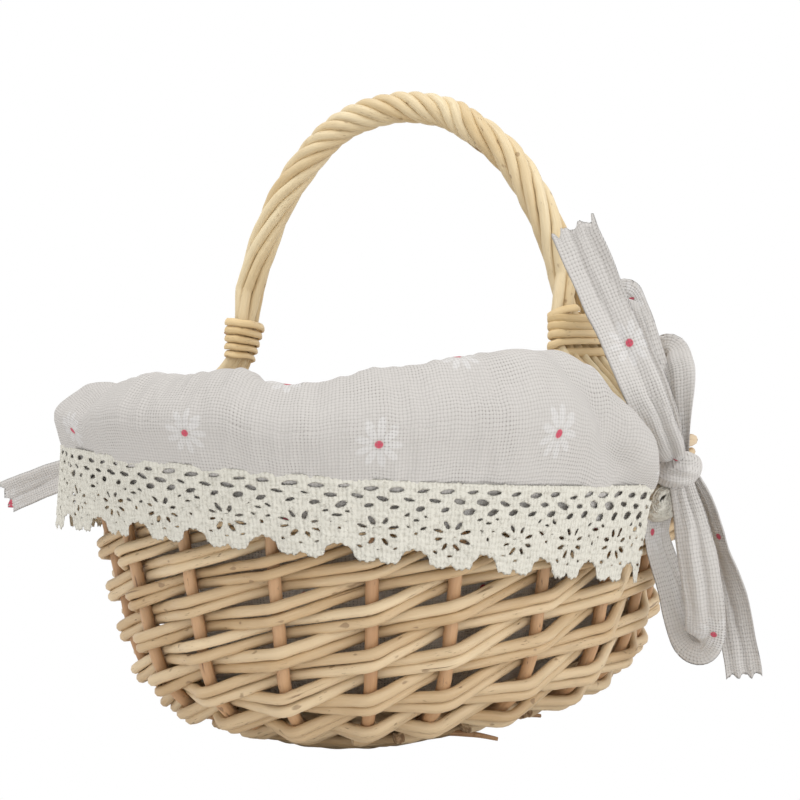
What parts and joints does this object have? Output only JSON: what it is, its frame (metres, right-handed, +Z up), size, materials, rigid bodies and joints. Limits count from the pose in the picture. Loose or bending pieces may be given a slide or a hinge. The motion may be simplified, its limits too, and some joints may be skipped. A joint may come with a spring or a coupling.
{
  "type": "flower girl basket",
  "caption": "Small oval willow basket with a roped hoop handle, a linen-look liner turned over its rim, a crochet lace edge and ribbon bows at the handle feet",
  "frame": {"origin": "on the floor, under the middle of the oval basket body", "axes": "+Z up; X runs through both handle feet across the short way of the oval, +X towards the foot with the large bow; Y runs along the oval, with the front at -Y"},
  "size_m": [0.279, 0.2486, 0.2043],
  "materials": {
    "wall_willow": "peeled buff willow rods, satin, with darker nodes and ends",
    "stake_willow": "peeled willow stakes, a little redder, satin",
    "handle_willow": "peeled willow rods, smooth and slightly shiny",
    "binding_skein": "thin split willow skein, smooth",
    "printed_linen": "open plain-weave linen-look cotton with small sparse printed daisies",
    "crochet_lace": "cream cotton crochet lace"
  },
  "bodies": {
    "root": {"base_cross_sticks": "wall_willow", "base_long_sticks": "wall_willow", "base_weave_over": "wall_willow", "base_weave_under": "wall_willow", "border_rod_inner": "wall_willow", "border_rod_outer": "wall_willow", "border_rod_top": "wall_willow", "collar_back": "printed_linen", "collar_front": "printed_linen", "far_bow_knot": "printed_linen", "far_bow_loop_down": "printed_linen", "far_bow_loop_up": "printed_linen", "far_bow_tail_down": "printed_linen", "far_bow_tie_out": "printed_linen", "handle_binding_far": "binding_skein", "handle_binding_near": "binding_skein", "handle_core": "handle_willow", "handle_strand_1": "handle_willow", "handle_strand_2": "handle_willow", "handle_strand_3": "handle_willow", "handle_strand_4": "handle_willow", "handle_strand_5": "handle_willow", "handle_strand_6": "handle_willow", "lace_back": "crochet_lace", "lace_front": "crochet_lace", "liner_floor": "printed_linen", "liner_wall": "printed_linen", "near_bow_knot": "printed_linen", "near_bow_loop_down": "printed_linen", "near_bow_loop_side": "printed_linen", "near_bow_loop_up": "printed_linen", "near_bow_tail_down": "printed_linen", "near_bow_tie_up": "printed_linen", "wall_stakes": "stake_willow", "weaver_pair_01": "wall_willow", "weaver_pair_02": "wall_willow", "weaver_pair_03": "wall_willow", "weaver_pair_04": "wall_willow", "weaver_pair_05": "wall_willow", "weaver_pair_06": "wall_willow", "weaver_pair_07": "wall_willow", "weaver_pair_08": "wall_willow", "weaver_pair_09": "wall_willow", "weaver_pair_10": "wall_willow", "weaver_pair_11": "wall_willow", "weaver_pair_12": "wall_willow", "weaver_pair_13": "wall_willow", "weaver_pair_14": "wall_willow", "weaver_pair_15": "wall_willow", "weaver_pair_16": "wall_willow", "weaver_pair_17": "wall_willow", "weaver_pair_18": "wall_willow", "weaver_pair_19": "wall_willow", "weaver_pair_20": "wall_willow", "weaver_pair_21": "wall_willow", "weaver_pair_22": "wall_willow"}
  },
  "joints": []
}
